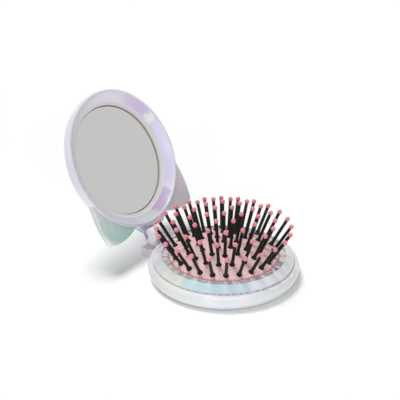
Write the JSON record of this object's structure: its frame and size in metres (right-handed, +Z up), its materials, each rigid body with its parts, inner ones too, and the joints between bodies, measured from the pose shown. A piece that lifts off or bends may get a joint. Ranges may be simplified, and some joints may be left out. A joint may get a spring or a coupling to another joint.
{
  "type": "folding hairbrush with mirror",
  "caption": "Round folding hairbrush: base with ball-tipped pins on a springy rubber membrane, and a hinged lid with two pointed ears that holds a recessed mirror.",
  "frame": {"origin": "middle of the base's round foot, on the surface that the brush stands on", "axes": "+Z up out of the table, -Y to the front of the brush, +Y to the hinge, X along the hinge axis; stored open, with the lid folded back"},
  "size_m": [0.07, 0.1143, 0.073],
  "materials": {
    "pearl_shell": "glossy white plastic with a pearly, iridescent sheen",
    "pearl_band": "glossy iridescent plastic, lilac to pale aqua",
    "white_plastic": "plain moulded",
    "pink_rubber": "matt rubber with a fine ribbed texture",
    "black_nylon": "slightly glossy black",
    "pink_tip": "smooth pink beads",
    "steel_pin": "bright steel",
    "mirror": "polished mirror",
    "adhesive": "white foam adhesive pad"
  },
  "bodies": {
    "base": {"base_shell": "pearl_shell", "base_collar": "pearl_band", "clamp_ring": "white_plastic", "hinge_pin": "steel_pin"},
    "lid": {"lid_shell": "pearl_shell", "lid_bezel": "pearl_band", "mirror_glass": "mirror", "mirror_tape": "adhesive"},
    "pad": {"push_plate": "white_plastic", "bristle_membrane": "pink_rubber", "pin_middle": "black_nylon", "pins_ring_1": "black_nylon", "pins_ring_2": "black_nylon", "pins_ring_3": "black_nylon", "pins_ring_4": "black_nylon", "tip_middle": "pink_tip", "tips_ring_1": "pink_tip", "tips_ring_2": "pink_tip", "tips_ring_3": "pink_tip", "tips_ring_4": "pink_tip"}
  },
  "joints": [
    {"name": "lid_hinge", "type": "hinge", "parent": "base", "child": "lid", "pos_m": [0, 0.03904, 0.00972], "axis": [1, 0, 0], "range_deg": [0, 120]},
    {"name": "pad_pop", "type": "slide", "parent": "base", "child": "pad", "axis": [0, 0, 1], "range_m": [-0.0126, 0], "deforming": ["bristle_membrane", "pin_middle", "pins_ring_1", "pins_ring_2", "pins_ring_3", "pins_ring_4", "tip_middle", "tips_ring_1", "tips_ring_2", "tips_ring_3", "tips_ring_4"]}
  ],
  "couplings": [
    {"joint": "pad_pop", "follows": "lid_hinge", "m_per_rad": -0.006016}
  ]
}
